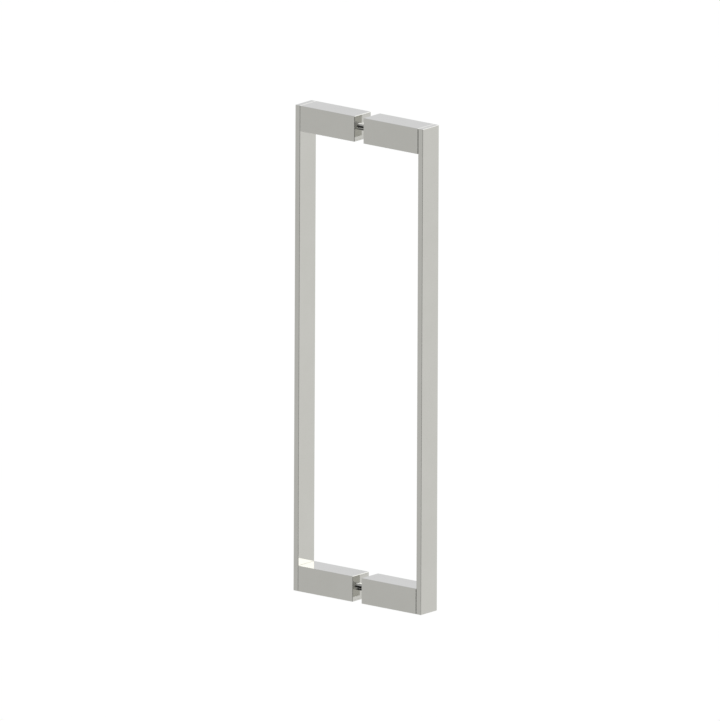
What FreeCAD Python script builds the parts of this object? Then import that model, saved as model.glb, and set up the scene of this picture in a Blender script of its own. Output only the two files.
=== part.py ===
import FreeCAD, Part
import math
import os

from FreeCAD import Vector

# A pair of square pull handles, fixed back to back through a glass door, in millimetres.
# The glass lies in the plane X = 0 and the front handle is on the +X side. +Z is up, along the bars.
# The origin is midway between the two studs.

# Sizes of the two handles
HOLE_SPACING = 457.2  # between the two studs, so between the holes in the glass
SECTION = 25.4  # outside of the square arms
BAR_WIDTH = 25.0  # of the flat bar that the hand grips
BAR_THICKNESS = 6.0  # of that bar
ARM_LENGTH = 67.5  # from an arm's glass end to the bar that it carries
GLASS_GAP = 11.0  # between the facing ends of the arms
TUBE_WALL = 1.6  # of the square tube that the arms are cut from
BAR_EDGE_ROUND = 0.7  # on the four long edges of a bar
BAR_END_CHAMFER = 0.3  # round both ends of a bar
ARM_EDGE_ROUND = 0.45  # on the four long edges of an arm
ARM_END_CHAMFER = 0.35  # round both ends of an arm

# Sizes of the blocks that close the two ends of an arm's tube
INSERT_LENGTH = 20.0  # of a stud insert, along the arm
INSERT_BACK_WALL = 4.0  # left behind the blind hole that takes the stud
PLUG_LENGTH = 12.0  # of an end plug, along the arm
BAR_SKIN = 1.6  # left in front of the blind screw holes in a bar

# Sizes of the turned pieces; threads are plain, at their pitch diameter
STUD_DIAMETER = 8.0  # of the bare shank that crosses the glass
STUD_THREAD = 7.19  # of a stud's front end, M8
SPIGOT_DIAMETER = 7.5  # of a stud's plain back end
SPIGOT_FLAT_DEPTH = 0.35  # of the flat that a grub screw bears on
SPIGOT_FLAT_LENGTH = 9.0  # of that flat, along the stud
STUD_CHAMFER = 0.8  # that leads a stud's thread in
SCREW_THREAD = 5.35  # of the bar screws and grub screws, M6
HEAD_DIAMETER = 10.0  # of a bar screw's head
HEAD_HEIGHT = 6.0  # of a bar screw's head
HEAD_SOCKET = 5.0  # across the flats of a bar screw's hexagon
HEAD_SOCKET_DEPTH = 3.0  # of that hexagon
GRUB_SOCKET = 3.0  # across the flats of a grub screw's hexagon
GRUB_SOCKET_DEPTH = 3.5  # of that hexagon
GRUB_RECESS = 1.3  # from the arm's underside up to the grub screw
GRUB_CHAMFER = 1.0  # on a grub screw's tip

# Clearances, on the radius or on each side
BLOCK_CLEARANCE = 0.05  # of plugs and inserts in their tube, filled by solder
THREAD_CLEARANCE = 0.05  # of a thread in its tapped hole
SPIGOT_CLEARANCE = 0.05  # of a stud's back end in its bore
SHANK_CLEARANCE = 0.6  # of a bar screw in its plug
KEY_CLEARANCE = 0.4  # of a grub screw in the tube's wall
TIP_CLEARANCE = 0.75  # beyond the end of a stud or screw in a blind hole
SHOULDER_CLEARANCE = 0.3  # between a stud's back shoulder and its insert

# Places along X, measured out from the middle of the glass
END_X = GLASS_GAP / 2
BAR_X = END_X + ARM_LENGTH
PLUG_X = BAR_X - PLUG_LENGTH
HEAD_X = PLUG_X - HEAD_HEIGHT
STUD_HOLE_DEPTH = INSERT_LENGTH - INSERT_BACK_WALL
STUD_HOLE_X = END_X + STUD_HOLE_DEPTH
STUD_END_X = STUD_HOLE_X - TIP_CLEARANCE
GRUB_X = END_X + STUD_HOLE_DEPTH / 2

BAR_HEIGHT = HOLE_SPACING + SECTION
BLOCK_SIDE = SECTION - 2 * (TUBE_WALL + BLOCK_CLEARANCE)
SCREW_HOLE_DEPTH = BAR_THICKNESS - BAR_SKIN
FLAT_Z = SPIGOT_DIAMETER / 2 - SPIGOT_FLAT_DEPTH

X_AXIS = Vector(1, 0, 0)
Y_AXIS = Vector(0, 1, 0)
Z_AXIS = Vector(0, 0, 1)
ORIGIN = Vector(0, 0, 0)
SAME_WAY = 0.99  # the cosine above which two directions count as one


def square_prism(start, end, side):
    """A bar of square section along X, centred on the axis."""
    return Part.makeBox(end - start, side, side, Vector(start, -side / 2, -side / 2))


def drill(start, end, radius):
    """A cylinder along X, for a hole."""
    return Part.makeCylinder(radius, end - start, Vector(start, 0, 0), X_AXIS)


def turned(profile):
    """A solid of revolution about X, from its profile of (along, radius) points."""
    first, last = profile[0][0], profile[-1][0]
    corners = [Vector(first, 0, 0)]
    corners += [Vector(along, 0, radius) for along, radius in profile]
    corners += [Vector(last, 0, 0), Vector(first, 0, 0)]
    section = Part.Face(Part.makePolygon(corners))
    return section.revolve(ORIGIN, X_AXIS, 360)


def hexagon(across_flats, start, depth):
    """A hexagon socket's prism along X."""
    radius = across_flats / math.sqrt(3)
    angles = [math.radians(60 * corner) for corner in range(7)]
    corners = [Vector(start, radius * math.cos(a), radius * math.sin(a)) for a in angles]
    return Part.Face(Part.makePolygon(corners)).extrude(X_AXIS * depth)


def edges_along(box, axis):
    """The edges of a box that run along one axis."""
    return [edge for edge in box.Edges if abs(edge.Curve.Direction.dot(axis)) > SAME_WAY]


def edges_round(shape, outward):
    """The edges round the flat end of a shape that faces one way."""
    ends = [face for face in shape.Faces if face.normalAt(0, 0).dot(outward) > SAME_WAY]
    return [edge for face in ends for edge in face.Edges]


def bar():
    """Flat bar with eased edges, and a blind tapped hole behind each arm."""
    blank = Part.makeBox(
        BAR_THICKNESS, BAR_WIDTH, BAR_HEIGHT, Vector(BAR_X, -BAR_WIDTH / 2, -BAR_HEIGHT / 2)
    )
    blank = blank.makeFillet(BAR_EDGE_ROUND, edges_along(blank, Z_AXIS))
    end_edges = edges_round(blank, Z_AXIS) + edges_round(blank, -Z_AXIS)
    blank = blank.makeChamfer(BAR_END_CHAMFER, end_edges)
    hole = drill(BAR_X, BAR_X + SCREW_HOLE_DEPTH, SCREW_THREAD / 2 + THREAD_CLEARANCE)
    for level in (-1, 1):
        blank = blank.cut(hole.translated(Z_AXIS * (level * HOLE_SPACING / 2)))
    return blank


def arm(grub_hole):
    """Square tube from the glass to the bar; a back arm has a hole below for the grub screw's key."""
    outside = square_prism(END_X, BAR_X, SECTION)
    outside = outside.makeFillet(ARM_EDGE_ROUND, edges_along(outside, X_AXIS))
    end_edges = edges_round(outside, -X_AXIS) + edges_round(outside, X_AXIS)
    outside = outside.makeChamfer(ARM_END_CHAMFER, end_edges)
    tube = outside.cut(square_prism(END_X, BAR_X, SECTION - 2 * TUBE_WALL))
    if grub_hole:
        radius = SCREW_THREAD / 2 + KEY_CLEARANCE
        tube = tube.cut(Part.makeCylinder(radius, SECTION, Vector(GRUB_X, 0, 0), -Z_AXIS))
    return tube


def end_plug():
    """Plug at the bar's end of a tube, with a hole for the screw that holds the bar."""
    plug = square_prism(PLUG_X, BAR_X, BLOCK_SIDE)
    return plug.cut(drill(PLUG_X, BAR_X, SCREW_THREAD / 2 + SHANK_CLEARANCE))


def bar_screw():
    """Cap screw with its head on a plug and its thread in the bar's blind hole."""
    thread_radius = SCREW_THREAD / 2
    screw = turned(
        [
            (HEAD_X, HEAD_DIAMETER / 2),
            (PLUG_X, HEAD_DIAMETER / 2),
            (PLUG_X, thread_radius),
            (BAR_X + SCREW_HOLE_DEPTH - TIP_CLEARANCE, thread_radius),
        ]
    )
    return screw.cut(hexagon(HEAD_SOCKET, HEAD_X, HEAD_SOCKET_DEPTH))


def front_insert():
    """Block that closes a front arm flush with its glass end, tapped for the stud."""
    insert = square_prism(END_X, END_X + INSERT_LENGTH, BLOCK_SIDE)
    return insert.cut(drill(END_X, STUD_HOLE_X, STUD_THREAD / 2 + THREAD_CLEARANCE))


def back_insert():
    """Block that closes a back arm, bored for the stud and tapped below for a grub screw."""
    insert = square_prism(END_X, END_X + INSERT_LENGTH, BLOCK_SIDE)
    insert = insert.cut(drill(END_X, STUD_HOLE_X, SPIGOT_DIAMETER / 2 + SPIGOT_CLEARANCE))
    radius = SCREW_THREAD / 2 + THREAD_CLEARANCE
    return insert.cut(Part.makeCylinder(radius, SECTION, Vector(GRUB_X, 0, 0), -Z_AXIS))


def stud():
    """Stud across the glass: thread in front, bare shank between, spigot with a flat at the back."""
    shank_radius = STUD_DIAMETER / 2
    thread_radius = STUD_THREAD / 2
    spigot_radius = SPIGOT_DIAMETER / 2
    shoulder_x = END_X - SHOULDER_CLEARANCE
    shape = turned(
        [
            (-STUD_END_X, spigot_radius),
            (-shoulder_x, spigot_radius),
            (-shoulder_x, shank_radius),
            (END_X, shank_radius),
            (END_X, thread_radius),
            (STUD_END_X - STUD_CHAMFER, thread_radius),
            (STUD_END_X, thread_radius - STUD_CHAMFER),
        ]
    )
    below_flat = Part.makeBox(
        SPIGOT_FLAT_LENGTH,
        SPIGOT_DIAMETER,
        SPIGOT_DIAMETER,
        Vector(-GRUB_X - SPIGOT_FLAT_LENGTH / 2, -SPIGOT_DIAMETER / 2, -FLAT_Z - SPIGOT_DIAMETER),
    )
    return shape.cut(below_flat)


def grub_screw():
    """Grub screw that rises through a back arm's underside and bears on the stud's flat."""
    length = SECTION / 2 - GRUB_RECESS - FLAT_Z
    radius = SCREW_THREAD / 2
    screw = turned(
        [
            (0, radius - GRUB_CHAMFER),
            (GRUB_CHAMFER, radius),
            (length, radius),
        ]
    )
    screw = screw.cut(hexagon(GRUB_SOCKET, length - GRUB_SOCKET_DEPTH, GRUB_SOCKET_DEPTH))
    screw.rotate(ORIGIN, Y_AXIS, 90)
    return screw.translated(Vector(-GRUB_X, 0, -FLAT_Z))


def on_side(shape, side):
    """A piece of the front handle, or the same piece turned round to the back handle."""
    turn = 0 if side == "front" else 180
    return shape.rotated(ORIGIN, Z_AXIS, turn)


pieces = {}
for side in ("front", "back"):
    at_back = side == "back"
    pieces[f"{side}_bar"] = on_side(bar(), side)
    arm_pieces = {
        "arm": arm(grub_hole=at_back),
        "end_plug": end_plug(),
        "bar_screw": bar_screw(),
        "stud_insert": back_insert() if at_back else front_insert(),
    }
    for level, height in (("upper", HOLE_SPACING / 2), ("lower", -HOLE_SPACING / 2)):
        for name, shape in arm_pieces.items():
            pieces[f"{side}_{level}_{name}"] = on_side(shape, side).translated(Z_AXIS * height)

for level, height in (("upper", HOLE_SPACING / 2), ("lower", -HOLE_SPACING / 2)):
    pieces[f"{level}_stud"] = stud().translated(Z_AXIS * height)
    pieces[f"{level}_grub_screw"] = grub_screw().translated(Z_AXIS * height)

os.makedirs("parts", exist_ok=True)
for name, shape in pieces.items():
    shape.exportStep(f"parts/{name}.step")
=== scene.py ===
import math

import bpy
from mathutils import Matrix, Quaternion, Vector


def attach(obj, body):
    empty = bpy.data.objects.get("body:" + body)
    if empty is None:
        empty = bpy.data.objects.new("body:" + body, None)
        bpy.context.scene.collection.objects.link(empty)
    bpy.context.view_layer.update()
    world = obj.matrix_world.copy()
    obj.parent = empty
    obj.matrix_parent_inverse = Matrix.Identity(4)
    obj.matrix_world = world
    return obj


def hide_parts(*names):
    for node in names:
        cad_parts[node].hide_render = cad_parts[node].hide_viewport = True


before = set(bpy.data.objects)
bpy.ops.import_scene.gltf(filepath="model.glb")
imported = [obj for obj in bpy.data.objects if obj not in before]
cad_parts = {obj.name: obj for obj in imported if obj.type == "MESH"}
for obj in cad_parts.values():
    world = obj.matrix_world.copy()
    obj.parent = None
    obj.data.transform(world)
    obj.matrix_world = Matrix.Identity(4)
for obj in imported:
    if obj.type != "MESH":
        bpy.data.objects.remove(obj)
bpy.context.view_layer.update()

# Bars: two flat lengths of brass that the hands grip, sawn from drawn strip and eased along every edge.
# They are buffed up and down their length and nickel plated, so they show a warm grey mirror
# with faint clouds in the plating and hair-fine streaks from the buffing wheel.
NICKEL = (0.557, 0.553, 0.519)
NICKEL_CLOUD = (0.545, 0.541, 0.506)
MIRROR_GLOSS = (0.04, 0.08)
STREAKS_ALONG_Z = (900.0, 900.0, 12.0)
STREAK_DETAIL = 4.0
CLOUD_SCALE = 35.0
CLOUD_DETAIL = 3.0
CLOUD_EDGES = (0.35, 0.65)
WAVE_STRENGTH = 0.08
WAVE_DEPTH = 0.2e-3


def buffed_metal(name, colour, cloud_colour, streak_scale, gloss_range):
    """A buffed metal: clouds in its tone, streaks in its gloss, and faint waves in the polished face."""
    metal = bpy.data.materials.new(name)
    metal.use_nodes = True
    nodes, links = metal.node_tree.nodes, metal.node_tree.links
    shader = nodes["Principled BSDF"]
    shader.inputs["Metallic"].default_value = 1.0
    place = nodes.new("ShaderNodeTexCoord")

    clouds = nodes.new("ShaderNodeTexNoise")
    clouds.inputs["Scale"].default_value = CLOUD_SCALE
    clouds.inputs["Detail"].default_value = CLOUD_DETAIL
    links.new(place.outputs["Object"], clouds.inputs["Vector"])
    tone = nodes.new("ShaderNodeValToRGB")
    for stop, edge, shade in zip(tone.color_ramp.elements, CLOUD_EDGES, (cloud_colour, colour)):
        stop.position = edge
        stop.color = (*shade, 1.0)
    links.new(clouds.outputs["Fac"], tone.inputs["Fac"])
    links.new(tone.outputs["Color"], shader.inputs["Base Color"])

    grain = nodes.new("ShaderNodeMapping")
    grain.inputs["Scale"].default_value = streak_scale
    links.new(place.outputs["Object"], grain.inputs["Vector"])
    streaks = nodes.new("ShaderNodeTexNoise")
    streaks.inputs["Scale"].default_value = 1.0
    streaks.inputs["Detail"].default_value = STREAK_DETAIL
    links.new(grain.outputs["Vector"], streaks.inputs["Vector"])
    gloss = nodes.new("ShaderNodeMapRange")
    gloss.inputs["To Min"].default_value = gloss_range[0]
    gloss.inputs["To Max"].default_value = gloss_range[1]
    links.new(streaks.outputs["Fac"], gloss.inputs["Value"])
    links.new(gloss.outputs["Result"], shader.inputs["Roughness"])

    waves = nodes.new("ShaderNodeBump")
    waves.inputs["Strength"].default_value = WAVE_STRENGTH
    waves.inputs["Distance"].default_value = WAVE_DEPTH
    links.new(clouds.outputs["Fac"], waves.inputs["Height"])
    links.new(waves.outputs["Normal"], shader.inputs["Normal"])
    return metal


bar_nickel = buffed_metal("bar_nickel", NICKEL, NICKEL_CLOUD, STREAKS_ALONG_Z, MIRROR_GLOSS)


def finish_nodes(metal, names):
    """Puts a finish on CAD nodes in place of their plain one."""
    for name in names:
        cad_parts[name].material_slots[0].material = metal


finish_nodes(bar_nickel, ["front_bar", "back_bar"])

# Arms: four lengths of square brass tube, butted against the bars and buffed along their length.
# The end that faces the glass is ground flat together with the block inside it, and the whole is plated.
STREAKS_ALONG_X = (12.0, 900.0, 900.0)
ARMS = [f"{side}_{level}" for side in ("front", "back") for level in ("upper", "lower")]
arm_nickel = buffed_metal("arm_nickel", NICKEL, NICKEL_CLOUD, STREAKS_ALONG_X, MIRROR_GLOSS)
finish_nodes(arm_nickel, [f"{arm}_arm" for arm in ARMS])

# End plugs: square blocks of mild steel, sawn off a bar and soldered into the bar's end of each tube.
# They are never seen, so they keep the grey of the mill and the marks of the saw.
PLUG_STEEL = (0.42, 0.415, 0.40)
PLUG_STEEL_CLOUD = (0.36, 0.352, 0.338)
SAWN_GLOSS = (0.3, 0.5)
SAW_MARKS = (60.0, 60.0, 1500.0)
plug_steel = buffed_metal("plug_steel", PLUG_STEEL, PLUG_STEEL_CLOUD, SAW_MARKS, SAWN_GLOSS)
finish_nodes(plug_steel, [f"{arm}_end_plug" for arm in ARMS])

# Bar screws: four socket head cap screws, M6, that pull each bar against its arm through the end plug.
# They are forged steel with a knurled head, a broached hexagon and a rolled thread, in a dull satin grey.
SCREW_STEEL = (0.5, 0.5, 0.49)
SCREW_STEEL_CLOUD = (0.44, 0.44, 0.43)
SATIN_GLOSS = (0.22, 0.34)
ROLLED_GRAIN = (700.0, 700.0, 700.0)
HEAD_X = 55.0e-3
PLUG_X = 61.0e-3
BAR_SCREW_TIP_X = 76.65e-3
HEAD_RADIUS = 5.0e-3
HEAD_CHAMFER = 0.5e-3
KNURL_TEETH = 30
KNURL_DEPTH = 0.97
HEAD_SOCKET = 5.0e-3
HEAD_SOCKET_DEPTH = 3.0e-3
M6_CREST = 2.95e-3
M6_ROOT = 2.4e-3
M6_PITCH = 1.0e-3
THREAD_FLAT = 0.125
THREAD_RUN_IN = 1.5
THREAD_STEPS = 32
THREAD_POINT = 0.86
STUD_HEIGHT = 228.6e-3
SAME_PLACE = 1.0e-6
SQUARE_ON = 0.99
SMOOTH_ANGLE = math.radians(20)
screw_steel = buffed_metal("screw_steel", SCREW_STEEL, SCREW_STEEL_CLOUD, ROLLED_GRAIN, SATIN_GLOSS)


def rod(radius, start, end, sides):
    """A plain round rod along X, with its place in its mesh."""
    bpy.ops.object.select_all(action="DESELECT")
    bpy.ops.mesh.primitive_cylinder_add(
        vertices=sides,
        radius=radius,
        depth=end - start,
        location=((start + end) / 2, 0, 0),
        rotation=(0, math.radians(90), 0),
    )
    bpy.ops.object.transform_apply(location=True, rotation=True, scale=True)
    return bpy.context.active_object


def pick_end(piece, place):
    """Goes into edit mode with only the flat end of a piece at one place along X selected."""
    bpy.ops.object.mode_set(mode="EDIT")
    bpy.ops.mesh.select_mode(type="FACE")
    bpy.ops.mesh.select_all(action="DESELECT")
    bpy.ops.object.mode_set(mode="OBJECT")
    for face in piece.data.polygons:
        face.select = abs(face.center.x - place) < SAME_PLACE and abs(face.normal.x) > SQUARE_ON
    bpy.ops.object.mode_set(mode="EDIT")


def draw_end(piece, place, step, scale):
    """Draws the end of a piece out along X by a step, and scales the new end about the axis."""
    pick_end(piece, place)
    bpy.ops.mesh.extrude_region_move(TRANSFORM_OT_translate={"value": (step, 0, 0)})
    bpy.ops.transform.resize(value=(1, scale, scale), center_override=(place + step, 0, 0))
    bpy.ops.object.mode_set(mode="OBJECT")


def cut_thread(crest, root, pitch, start, end):
    """A thread along X: one tooth drawn point by point, swept round as a screw and trimmed."""
    turns = math.ceil((end - start) / pitch) + round(2 * THREAD_RUN_IN)
    flat = pitch * THREAD_FLAT
    flank = (pitch - 3 * flat) / 2
    bpy.ops.object.select_all(action="DESELECT")
    bpy.ops.mesh.primitive_plane_add(size=pitch)
    thread = bpy.context.active_object
    bpy.ops.object.mode_set(mode="EDIT")
    bpy.ops.mesh.select_mode(type="VERT")
    bpy.ops.mesh.select_all(action="SELECT")
    bpy.ops.mesh.merge(type="CENTER")
    bpy.ops.transform.translate(value=(start - THREAD_RUN_IN * pitch, 0, root))
    tooth = [(flat, 0), (flank, crest - root), (flat, 0), (flank, root - crest), (flat, 0)]
    for along, outward in tooth:
        bpy.ops.mesh.extrude_region_move(TRANSFORM_OT_translate={"value": (along, 0, outward)})
    bpy.ops.object.mode_set(mode="OBJECT")
    sweep = thread.modifiers.new("sweep", "SCREW")
    sweep.axis = "X"
    sweep.screw_offset = pitch
    sweep.iterations = turns
    sweep.steps = THREAD_STEPS
    sweep.render_steps = THREAD_STEPS
    bpy.ops.object.modifier_apply(modifier="sweep")
    bpy.ops.object.mode_set(mode="EDIT")
    bpy.ops.mesh.select_all(action="SELECT")
    bpy.ops.mesh.remove_doubles(threshold=SAME_PLACE)
    bpy.ops.mesh.bisect(plane_co=(start, 0, 0), plane_no=(1, 0, 0), use_fill=True, clear_inner=True)
    bpy.ops.mesh.select_all(action="SELECT")
    bpy.ops.mesh.bisect(plane_co=(end, 0, 0), plane_no=(1, 0, 0), use_fill=True, clear_outer=True)
    bpy.ops.mesh.select_all(action="SELECT")
    bpy.ops.mesh.normals_make_consistent(inside=False)
    bpy.ops.object.mode_set(mode="OBJECT")
    pick_end(thread, end)
    bpy.ops.transform.resize(value=(1, THREAD_POINT, THREAD_POINT), center_override=(end, 0, 0))
    bpy.ops.object.mode_set(mode="OBJECT")
    return thread


def hexagon_key(across_flats, start, end):
    """The hexagon bar that leaves a socket of its size."""
    return rod(across_flats / math.sqrt(3), start, end, 6)


def take_out(piece, tool):
    """Cuts a tool's shape out of a piece, and puts the tool away."""
    bpy.ops.object.select_all(action="DESELECT")
    piece.select_set(True)
    bpy.context.view_layer.objects.active = piece
    cut = piece.modifiers.new("cut", "BOOLEAN")
    cut.operation = "DIFFERENCE"
    cut.object = tool
    bpy.ops.object.modifier_apply(modifier="cut")
    bpy.data.objects.remove(tool)


def put_together(piece, *others):
    """Joins pieces that are one in the metal, and smooths their round faces."""
    bpy.ops.object.select_all(action="DESELECT")
    for other in others:
        other.select_set(True)
    piece.select_set(True)
    bpy.context.view_layer.objects.active = piece
    if others:
        bpy.ops.object.join()
    bpy.ops.object.shade_smooth_by_angle(angle=SMOOTH_ANGLE)
    return piece


def copy_to(pattern, name, turn, lift):
    """One more of a piece, with a mesh of its own, turned about Z and lifted."""
    bpy.ops.object.select_all(action="DESELECT")
    pattern.select_set(True)
    bpy.context.view_layer.objects.active = pattern
    bpy.ops.object.duplicate(linked=False)
    piece = bpy.context.active_object
    piece.name = name
    piece.data.name = name
    piece.rotation_euler.z = turn
    piece.location.z = lift
    bpy.ops.object.transform_apply(location=True, rotation=True, scale=True)
    return piece


head = rod(HEAD_RADIUS, HEAD_X + HEAD_CHAMFER, PLUG_X, 2 * KNURL_TEETH)
bpy.ops.object.mode_set(mode="EDIT")
bpy.ops.mesh.select_mode(type="VERT")
bpy.ops.mesh.select_all(action="DESELECT")
bpy.ops.object.mode_set(mode="OBJECT")
for point in head.data.vertices:
    tooth_number = round(math.atan2(point.co.z, point.co.y) / math.pi * KNURL_TEETH)
    point.select = tooth_number % 2 == 0
bpy.ops.object.mode_set(mode="EDIT")
bpy.ops.transform.resize(value=(1, KNURL_DEPTH, KNURL_DEPTH), center_override=(0, 0, 0))
bpy.ops.object.mode_set(mode="OBJECT")
draw_end(head, HEAD_X + HEAD_CHAMFER, -HEAD_CHAMFER, 1 - HEAD_CHAMFER / HEAD_RADIUS)
take_out(head, hexagon_key(HEAD_SOCKET, HEAD_X - HEAD_CHAMFER, HEAD_X + HEAD_SOCKET_DEPTH))
shank = cut_thread(M6_CREST, M6_ROOT, M6_PITCH, PLUG_X, BAR_SCREW_TIP_X)
bar_screw = put_together(head, shank)
bar_screw.data.materials.clear()
bar_screw.data.materials.append(screw_steel)
for arm in ARMS:
    cap_screw = copy_to(
        bar_screw,
        f"{arm}_cap_screw",
        0 if arm.startswith("front") else math.pi,
        STUD_HEIGHT if arm.endswith("upper") else -STUD_HEIGHT,
    )
    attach(cap_screw, "root")
    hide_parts(f"{arm}_bar_screw")
bpy.data.objects.remove(bar_screw)

# Stud inserts: square blocks soldered into the glass end of each tube and ground flush with it.
# Their face is plated with the arm, so it has the arm's tone, with the even grain of the grinding wheel.
GROUND_GLOSS = (0.05, 0.09)
GROUND_GRAIN = (700.0, 700.0, 700.0)
insert_nickel = buffed_metal("insert_nickel", NICKEL, NICKEL_CLOUD, GROUND_GRAIN, GROUND_GLOSS)
finish_nodes(insert_nickel, [f"{arm}_stud_insert" for arm in ARMS])

# Studs: two pins that cross the glass, turned from stainless bar and polished on the shank in the gap.
# The front end has an M8 thread for the front insert. The back end is a plain spigot with a milled flat.
STUD_STEEL = (0.74, 0.74, 0.73)
STUD_STEEL_CLOUD = (0.71, 0.71, 0.70)
STUD_GLOSS = (0.03, 0.06)
STUD_SIDES = 96
STUD_END_X = 20.75e-3
GLASS_END_X = 5.5e-3
SHOULDER_X = -5.2e-3
SHANK_RADIUS = 4.0e-3
SPIGOT_RADIUS = 3.75e-3
SPIGOT_CHAMFER = 0.8e-3
SHANK_EASE = 0.12e-3
EASE_STEPS = 2
EASE_ABOVE = math.radians(60)
FLAT_Z = -3.4e-3
FLAT_LENGTH = 9.0e-3
GRUB_X = -13.5e-3
M8_CREST = 3.95e-3
M8_ROOT = 3.24e-3
M8_PITCH = 1.25e-3
stud_steel = buffed_metal("stud_steel", STUD_STEEL, STUD_STEEL_CLOUD, STREAKS_ALONG_X, STUD_GLOSS)

pin = rod(SPIGOT_RADIUS, -STUD_END_X + SPIGOT_CHAMFER, SHOULDER_X, STUD_SIDES)
draw_end(pin, -STUD_END_X + SPIGOT_CHAMFER, -SPIGOT_CHAMFER, 1 - SPIGOT_CHAMFER / SPIGOT_RADIUS)
draw_end(pin, SHOULDER_X, 0, SHANK_RADIUS / SPIGOT_RADIUS)
draw_end(pin, SHOULDER_X, GLASS_END_X - SHOULDER_X, 1)
ease = pin.modifiers.new("ease", "BEVEL")
ease.width = SHANK_EASE
ease.segments = EASE_STEPS
ease.limit_method = "ANGLE"
ease.angle_limit = EASE_ABOVE
bpy.ops.object.modifier_apply(modifier="ease")
bpy.ops.object.select_all(action="DESELECT")
bpy.ops.mesh.primitive_cube_add(
    size=1,
    location=(GRUB_X, 0, FLAT_Z - SPIGOT_RADIUS / 2),
    scale=(FLAT_LENGTH, 3 * SPIGOT_RADIUS, SPIGOT_RADIUS),
)
take_out(pin, bpy.context.active_object)
stud = put_together(pin, cut_thread(M8_CREST, M8_ROOT, M8_PITCH, GLASS_END_X, STUD_END_X))
stud.data.materials.clear()
stud.data.materials.append(stud_steel)
for level, lift in (("upper", STUD_HEIGHT), ("lower", -STUD_HEIGHT)):
    door_stud = copy_to(stud, f"{level}_door_stud", 0, lift)
    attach(door_stud, "root")
    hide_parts(f"{level}_stud")
bpy.data.objects.remove(stud)

# Grub screws: two headless M6 screws in the undersides of the back arms, driven up with a hexagon key.
# Their points bear on the flats of the studs and hold the back handle in place.
GRUB_LENGTH = 8.0e-3
GRUB_SOCKET = 3.0e-3
GRUB_SOCKET_DEPTH = 3.5e-3
set_screw = cut_thread(M6_CREST, M6_ROOT, M6_PITCH, -GRUB_LENGTH, 0)
take_out(
    set_screw,
    hexagon_key(GRUB_SOCKET, -GRUB_LENGTH - HEAD_CHAMFER, -GRUB_LENGTH + GRUB_SOCKET_DEPTH),
)
set_screw = put_together(set_screw)
set_screw.rotation_euler.y = math.radians(-90)
set_screw.location = (GRUB_X, 0, FLAT_Z)
bpy.ops.object.transform_apply(location=True, rotation=True, scale=True)
set_screw.data.materials.clear()
set_screw.data.materials.append(screw_steel)
for level, lift in (("upper", STUD_HEIGHT), ("lower", -STUD_HEIGHT)):
    socket_screw = copy_to(set_screw, f"{level}_set_screw", 0, lift)
    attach(socket_screw, "root")
    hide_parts(f"{level}_grub_screw")
bpy.data.objects.remove(set_screw)

# Floor: a wide disc well below the handle, of board with a pale matt paint.
# The photo's view passes over its edge.
FLOOR_BELOW = 1.0
FLOOR_RADIUS = 2.5
FLOOR_SIDES = 96
FLOOR_PAINT = (0.85, 0.85, 0.84)
FLOOR_ROUGHNESS = 0.7
bpy.ops.object.select_all(action="DESELECT")
bpy.ops.mesh.primitive_circle_add(
    vertices=FLOOR_SIDES, radius=FLOOR_RADIUS, fill_type="NGON", location=(0, 0, -FLOOR_BELOW)
)
floor = bpy.context.active_object
floor.name = "floor"
floor_paint = bpy.data.materials.new("floor_paint")
floor_paint.use_nodes = True
floor_paint.node_tree.nodes["Principled BSDF"].inputs["Base Color"].default_value = (*FLOOR_PAINT, 1)
floor_paint.node_tree.nodes["Principled BSDF"].inputs["Roughness"].default_value = FLOOR_ROUGHNESS
floor.data.materials.append(floor_paint)

# Studio: a pale tent all round, white behind the handle and a little darker in front of it.
# Above the horizon it is a shade cooler.
LEVEL = 0.873
SLOPE = (-0.0165, 0.161, 0.0)
SHADE = (0.946, 0.951, 0.986)
SHADE_FROM = -0.15
SHADE_TO = 0.2
world = bpy.data.worlds.new("studio")
bpy.context.scene.world = world
world.use_nodes = True
nodes, links = world.node_tree.nodes, world.node_tree.links
background = nodes["Background"]
direction = nodes.new("ShaderNodeTexCoord")
slope = nodes.new("ShaderNodeVectorMath")
slope.operation = "DOT_PRODUCT"
slope.inputs[1].default_value = SLOPE
links.new(direction.outputs["Generated"], slope.inputs[0])
strength = nodes.new("ShaderNodeMath")
strength.operation = "ADD"
strength.inputs[1].default_value = LEVEL
links.new(slope.outputs["Value"], strength.inputs[0])
links.new(strength.outputs["Value"], background.inputs["Strength"])
height = nodes.new("ShaderNodeSeparateXYZ")
links.new(direction.outputs["Generated"], height.inputs["Vector"])
above = nodes.new("ShaderNodeMapRange")
above.interpolation_type = "SMOOTHSTEP"
above.inputs["From Min"].default_value = SHADE_FROM
above.inputs["From Max"].default_value = SHADE_TO
links.new(height.outputs["Z"], above.inputs["Value"])
tint = nodes.new("ShaderNodeMix")
tint.data_type = "RGBA"
tint.inputs["A"].default_value = (1.0, 1.0, 1.0, 1.0)
tint.inputs["B"].default_value = (*SHADE, 1.0)
links.new(above.outputs["Result"], tint.inputs["Factor"])
links.new(tint.outputs["Result"], background.inputs["Color"])

# Softboxes: two large square lamps on the right. The low one, behind, lights the ends of the arms and
# the insides of the bars. The high one draws the bright lines along the studs and the arms' upper edges.
LAMP_DISTANCE = 3.0


def softbox(name, azimuth, elevation, size, power):
    """A square lamp that faces the handle from one direction and that the camera doesn't see."""
    around = math.radians(azimuth)
    up = math.radians(elevation)
    level_way = Vector((math.cos(around), math.sin(around), 0))
    way = level_way * math.cos(up) + Vector((0, 0, math.sin(up)))
    bpy.ops.object.light_add(type="AREA", location=way * LAMP_DISTANCE)
    lamp = bpy.context.active_object
    lamp.name = name
    lamp.rotation_mode = "QUATERNION"
    lamp.rotation_quaternion = way.to_track_quat("Z", "Y")
    lamp.data.shape = "SQUARE"
    lamp.data.size = size
    lamp.data.energy = power
    lamp.visible_camera = False


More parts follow.
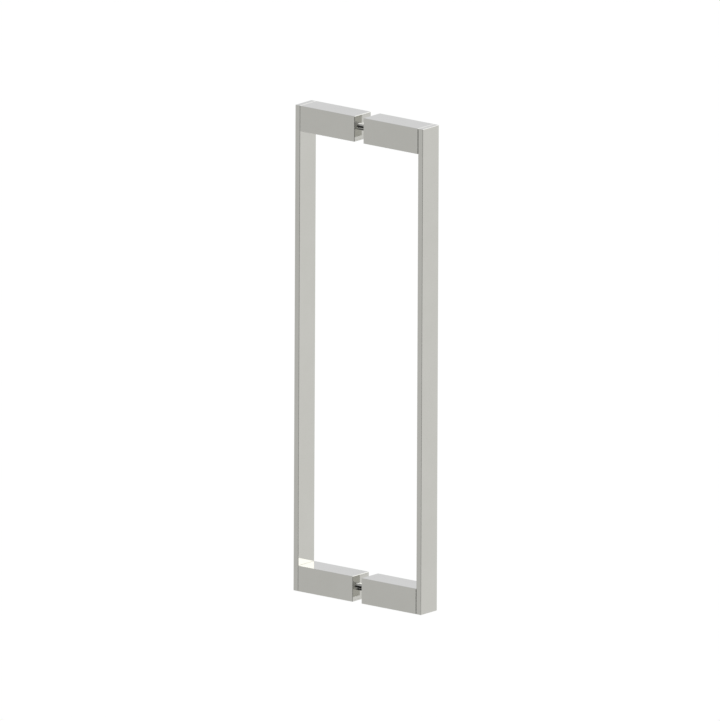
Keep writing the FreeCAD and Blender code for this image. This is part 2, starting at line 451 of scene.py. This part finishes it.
softbox("low_softbox", azimuth=50, elevation=15, size=2.0, power=24.5)
softbox("high_softbox", azimuth=45, elevation=55, size=3.0, power=28.0)

# Flags: three cards of black cloth on the camera's side, far enough off or small enough to keep the flat
# faces clear. The eased upright edges mirror the far strip, and the studs mirror the narrow card and the
# floor card, which gives them their dark lines.
FLAG_CLOTH = (0.035, 0.035, 0.033)
FLAG_SWING = math.radians(38.7)
FLAG_FOOT = -0.95
STRIP_AWAY = 40.0
STRIP_SIDES = (-14.5, 18.2)
STRIP_HEIGHTS = (-10.4, -9.1)
CARD_AWAY = 1.2
CARD_SIDES = (-0.12, 0.065)
CARD_TOP = 1.0
FLOOR_CARD_X = (0.4, 1.25)
FLOOR_CARD_Y = (-0.9, 0.5)
FLOOR_CARD_LIFT = 5.0e-3
flag_cloth = bpy.data.materials.new("flag_cloth")
flag_cloth.use_nodes = True
flag_cloth.node_tree.nodes["Principled BSDF"].inputs["Base Color"].default_value = (*FLAG_CLOTH, 1)
flag_cloth.node_tree.nodes["Principled BSDF"].inputs["Specular IOR Level"].default_value = 0.0


def flag(name, middle, turn, width, length):
    """A black card that shows only in reflections."""
    bpy.ops.object.select_all(action="DESELECT")
    bpy.ops.mesh.primitive_plane_add(size=1, location=middle, rotation=turn)
    card = bpy.context.active_object
    card.name = name
    card.scale = (width, length, 1)
    card.visible_camera = False
    card.visible_diffuse = False
    card.visible_shadow = False
    card.data.materials.append(flag_cloth)


def upright_flag(name, away, sides, heights):
    """A flag that stands upright and faces the handle from the camera's side."""
    outwards = Vector((math.sin(FLAG_SWING), -math.cos(FLAG_SWING)))
    sideways = Vector((math.cos(FLAG_SWING), math.sin(FLAG_SWING)))
    middle = outwards * away + sideways * sum(sides) / 2
    flag(
        name,
        middle=(*middle, sum(heights) / 2),
        turn=(math.radians(90), 0, FLAG_SWING),
        width=sides[1] - sides[0],
        length=heights[1] - heights[0],
    )


upright_flag("far_strip", STRIP_AWAY, STRIP_SIDES, STRIP_HEIGHTS)
upright_flag("narrow_card", CARD_AWAY, CARD_SIDES, (FLAG_FOOT, CARD_TOP))
flag(
    "floor_card",
    middle=(sum(FLOOR_CARD_X) / 2, sum(FLOOR_CARD_Y) / 2, FLOOR_CARD_LIFT - FLOOR_BELOW),
    turn=(0, 0, 0),
    width=FLOOR_CARD_X[1] - FLOOR_CARD_X[0],
    length=FLOOR_CARD_Y[1] - FLOOR_CARD_Y[0],
)

# Camera: far off with no perspective, to the right of the handle's front and a little above it.
# Its frame is the photo's, at the scale that makes the arms one inch wide.
AZIMUTH = math.radians(38.7)
ELEVATION = math.radians(13.8)
ROLL = math.radians(0.24)
PHOTO_HEIGHT = 721
PIXELS_PER_METRE = 1036.1
FRAME_HEIGHT = PHOTO_HEIGHT / PIXELS_PER_METRE
CENTRE_RIGHT = 5.955e-3
CENTRE_UP = 2.80e-3
CAMERA_DISTANCE = 1.5
back = Vector((
    math.sin(AZIMUTH) * math.cos(ELEVATION),
    -math.cos(AZIMUTH) * math.cos(ELEVATION),
    math.sin(ELEVATION),
))
turn = back.to_track_quat("Z", "Y") @ Quaternion((0, 0, 1), ROLL)
aim = -(turn @ Vector((CENTRE_RIGHT, CENTRE_UP, 0)))
bpy.ops.object.camera_add(location=aim + back * CAMERA_DISTANCE)
camera = bpy.context.active_object
camera.rotation_mode = "QUATERNION"
camera.rotation_quaternion = turn
camera.data.type = "ORTHO"
camera.data.ortho_scale = FRAME_HEIGHT
bpy.context.scene.camera = camera

bpy.context.scene.view_settings.view_transform = "Standard"
